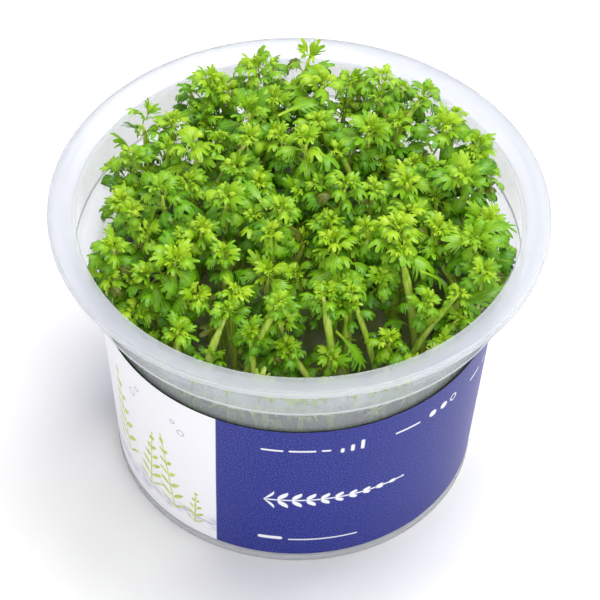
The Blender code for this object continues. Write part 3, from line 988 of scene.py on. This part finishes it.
def stemGreen():  # young stem: juicy and smooth, pale yellow-green with faint lengthwise streaks
    width, length = shootForm["streaks"]
    material, tree, shader = newMaterial(
        "Juicy pale stem", Metallic=0.0, Roughness=0.36, IOR=1.4,
        Subsurface_Weight=0.6, Subsurface_Radius=(1, 1, 0.35), Subsurface_Scale=2 * mm)
    place = addNode(tree, "ShaderNodeTexCoord").outputs["Object"]
    drawn = addNode(tree, "ShaderNodeMapping", {"Vector": place, "Scale": (1, 1, width / length)}).outputs[0]
    tone = mottle(tree, drawn, width * mm, 2.0, [(0.35, "#9DC02E"), (0.5, "#B9D64A"), (0.65, "#D3E27A")])[1]
    tree.links.new(tone, shader.inputs["Base Color"])
    return material


def onCircle(bearing, out, height):  # millimetres, the bearing in radians from the cup's front
    return Vector((out * math.sin(bearing), -out * math.cos(bearing), height)) * mm


def shareOut(shoots):  # everything that grows beside the main stems goes to the nearest shoot's pieces
    parts = {number: {"sides": [], "walls": [], "clear": [], "longs": [], "pressed": []} for number in shoots}

    def nearest(place):
        return parts[min(shoots, key=lambda n: (shoots[n]["middle"] - place).length)]

    for x, y, height, reach in sideShoots:
        place = Vector((x, y, height)) * mm
        nearest(place)["sides"].append((place, reach * mm, Vector(), None))
    for bearing, height, reach in wallShoots:
        turn = math.radians(bearing)
        place = onCircle(turn, wallAt(height) - cupRoom["wallShoot"], height)
        foot = onCircle(turn, wallAt(gelTop) - cupRoom["foot"], gelTop)
        nearest(place)["walls"].append((place, reach * mm, Vector(), foot))
    for low, top, thickness, reach in clearStems:
        top = Vector(top) * mm
        nearest(top)["clear"].append((Vector(low) * mm, top, thickness, reach * mm))
    for foot, top in longLeaves:
        foot = Vector(foot) * mm
        nearest(foot)["longs"].append((foot, Vector(top) * mm))
    scatter = random.Random(7)
    for low, high, start, end, count in pressedLeaves:
        for leaf in range(count):
            bearing = math.radians(start + (end - start) * (leaf + scatter.uniform(0.1, 0.9)) / count)
            height = scatter.uniform(low, high)
            nearest(onCircle(bearing, wallAt(height), height))["pressed"].append((bearing, height))
    return parts


def headStyle(number):  # the tiers of a shoot's head, and the head's size against its reach
    if number in slimShoots:
        return slimTiers, 1
    if number in openShoots:
        return openTiers, shootForm["openSize"]
    return bushyTiers, shootForm["whorlSize"]


def growBranches(shoot, spread, rand):  # where a bushy shoot's own branches end
    branches = []
    reach, count = shoot["reach"], shootForm["branches"]
    start = rand.uniform(0, math.tau)
    for branch in range(count):
        turn = start + math.tau * branch / count
        turn += rand.uniform(-shootForm["branchTurn"], shootForm["branchTurn"])
        out = Vector((math.cos(turn), math.sin(turn), 0))
        place = shoot["middle"] + out * reach * spread * rand.uniform(*shootForm["branchSpread"])
        place.z -= reach * rand.uniform(0.0, shootForm["branchDrop"])
        size = reach * shootForm["branchSize"] * rand.uniform(*shootForm["branchSizes"])
        branches.append((place, size, out * shootForm["branchLean"], None))
    return branches


def growShoot(number, shoot, parts, templates, longTemplates):  # all that belongs to one stem and its leaves
    rand = random.Random(100 + number)
    reach = shoot["reach"]
    tiers, headSize = headStyle(number)
    move = Vector(shootForm["tipMoves"].get(number, (0, 0, 0))) * mm
    tip = shoot["middle"] + Vector((0, 0, shootForm["tipAbove"] * reach)) + move
    stems = bmesh.new()
    growStem(stems, shoot["foot"], shoot["bend"], tip)
    leaves = bmesh.new()
    toneLayer = leaves.faces.layers.float.new("leafTone")
    leaves.loops.layers.uv.new("leaf")
    growHead(leaves, toneLayer, templates, tip, reach * headSize, tiers, rand)
    branches = parts["sides"] + parts["walls"]
    if tiers is bushyTiers:
        slender = number in shootForm["slender"]
        spread = shootForm["slenderOut"] if slender else shootForm["branchOut"]
        branches += growBranches(shoot, spread, rand)
    for place, size, lean, foot in branches:
        joint = foot
        if foot is None:
            joint = arcPoint(shoot["foot"], shoot["bend"], tip, rand.uniform(*shootForm["branchFrom"]))
        knee = Vector((place.x, place.y, joint.z + shootForm["branchKnee"] * (place.z - joint.z)))
        growStem(stems, joint, knee, place, shootForm["branchThickness"])
        branchTiers = openTiers if foot else bushyTiers[:-1]
        growHead(leaves, toneLayer, templates, place, size, branchTiers, rand, lean)
    for low, top, thickness, size in parts["clear"]:
        growThrough(stems, footBelow(low, top), low, top, thickness)
        growHead(leaves, toneLayer, templates, top, size, bushyTiers[:5], rand)
    for foot, top in parts["longs"]:
        aim = (top - foot).to_track_quat("Y", "Z").to_matrix().to_4x4()
        size = Matrix.Scale((top - foot).length * shootForm["longSize"], 4)
        template = rand.choice(longTemplates)
        addLeaf(leaves, template, Matrix.Translation(foot) @ aim @ size, shootForm["longTone"], toneLayer)
    for bearing, height in parts["pressed"]:
        pressLeaf(leaves, toneLayer, rand.choice(templates[0] + longTemplates), bearing, height, rand)
    growRoot(stems, shoot, tip, rand)
    keepInCup(leaves)
    keepInCup(stems)
    return stems, leaves


def makeShoots():
    leafMaterial, stemMaterial = leafGreen(), stemGreen()
    forms, longForms = range(leafMake["forms"]), range(leafMake["longForms"])
    templates = [[makeLeafTemplate("fan", form, bend) for form in forms] for bend in leafMake["bends"]]
    longTemplates = [makeLeafTemplate("long", form, leafMake["longBend"]) for form in longForms]
    shoots = {number: readShoot(number) for number in range(1, len(nodes) // 2)}
    parts = shareOut(shoots)
    for number, shoot in shoots.items():
        stems, leaves = growShoot(number, shoot, parts[number], templates, longTemplates)
        stem = finishPiece(f"juicy_stem_{number:02d}", stems, [stemMaterial])
        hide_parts(f"stem_{number:02d}")
        head = finishPiece(f"feathery_leaves_{number:02d}", leaves, [leafMaterial, stemMaterial])
        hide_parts(f"leaves_{number:02d}")
    for mesh in sum(templates, longTemplates):
        bpy.data.meshes.remove(mesh)


# studio

studio = {
    "floorSize": 4.0,  # metres
    "floorPatches": 25,  # millimetres
    "cameraPlace": (0.6, -405.68, 472.73),  # millimetres, fitted to the photo's edges
    "cameraPitch": 46.84,  # degrees
    "cameraRoll": 1.52,
    "lens": 166.3,
    "sensor": 36,
    "farthest": 20,  # metres
    "skyStrength": 0.64,
    "softboxes": [  # place, aim and width in metres, and watts
        ("top softbox", (0.16, 0.16, 0.7), (0, 0, 0.05), 0.45, 4.0),
        ("front fill", (0.2, -0.75, 0.7), (0, 0, 0.04), 0.6, 2.5),
    ],
}


def paleFloor():  # painted board: matt and nearly white
    material, tree, shader = newMaterial("Pale painted board", Metallic=0.0, Roughness=0.9, IOR=1.45)
    place = addNode(tree, "ShaderNodeTexCoord").outputs["Object"]
    tone = mottle(tree, place, studio["floorPatches"] * mm, 2.0, [(0.3, "#FAFAFA"), (0.7, "#FFFFFF")])[1]
    tree.links.new(tone, shader.inputs["Base Color"])
    return material


def addSoftbox(name, place, aimAt, width, power):
    light = bpy.data.lights.new(name, "AREA")
    light.shape = "SQUARE"
    light.size = width
    light.energy = power
    lamp = bpy.data.objects.new(name, light)
    bpy.context.scene.collection.objects.link(lamp)
    lamp.location = place
    lamp.rotation_euler = (Vector(aimAt) - Vector(place)).to_track_quat("-Z", "Y").to_euler()


def makeStudio():
    scene = bpy.context.scene
    bm = bmesh.new()
    bmesh.ops.create_grid(bm, x_segments=1, y_segments=1, size=studio["floorSize"] / 2)
    mesh = bpy.data.meshes.new("pale_floor")
    bm.to_mesh(mesh)
    bm.free()
    mesh.materials.append(paleFloor())
    floor = bpy.data.objects.new("pale_floor", mesh)
    scene.collection.objects.link(floor)
    world = bpy.data.worlds.new("white studio")
    world.use_nodes = True
    world.node_tree.nodes["Background"].inputs["Color"].default_value = (1, 1, 1, 1)
    world.node_tree.nodes["Background"].inputs["Strength"].default_value = studio["skyStrength"]
    scene.world = world
    for softbox in studio["softboxes"]:
        addSoftbox(*softbox)
    camera = bpy.data.cameras.new("photo camera")
    camera.lens = studio["lens"]
    camera.sensor_width = studio["sensor"]
    camera.clip_end = studio["farthest"]
    viewer = bpy.data.objects.new("photo camera", camera)
    scene.collection.objects.link(viewer)
    pitch = Matrix.Rotation(math.radians(90 - studio["cameraPitch"]), 4, "X")
    roll = Matrix.Rotation(math.radians(studio["cameraRoll"]), 4, "Z")
    viewer.matrix_world = Matrix.Translation(Vector(studio["cameraPlace"]) * mm) @ pitch @ roll
    scene.camera = viewer
    scene.view_settings.view_transform = "Standard"


makeCup()
print("cup done")
makeLabel()
print("label done")
dressGel()
makeShoots()
print("shoots done")
makeStudio()
print("studio done")
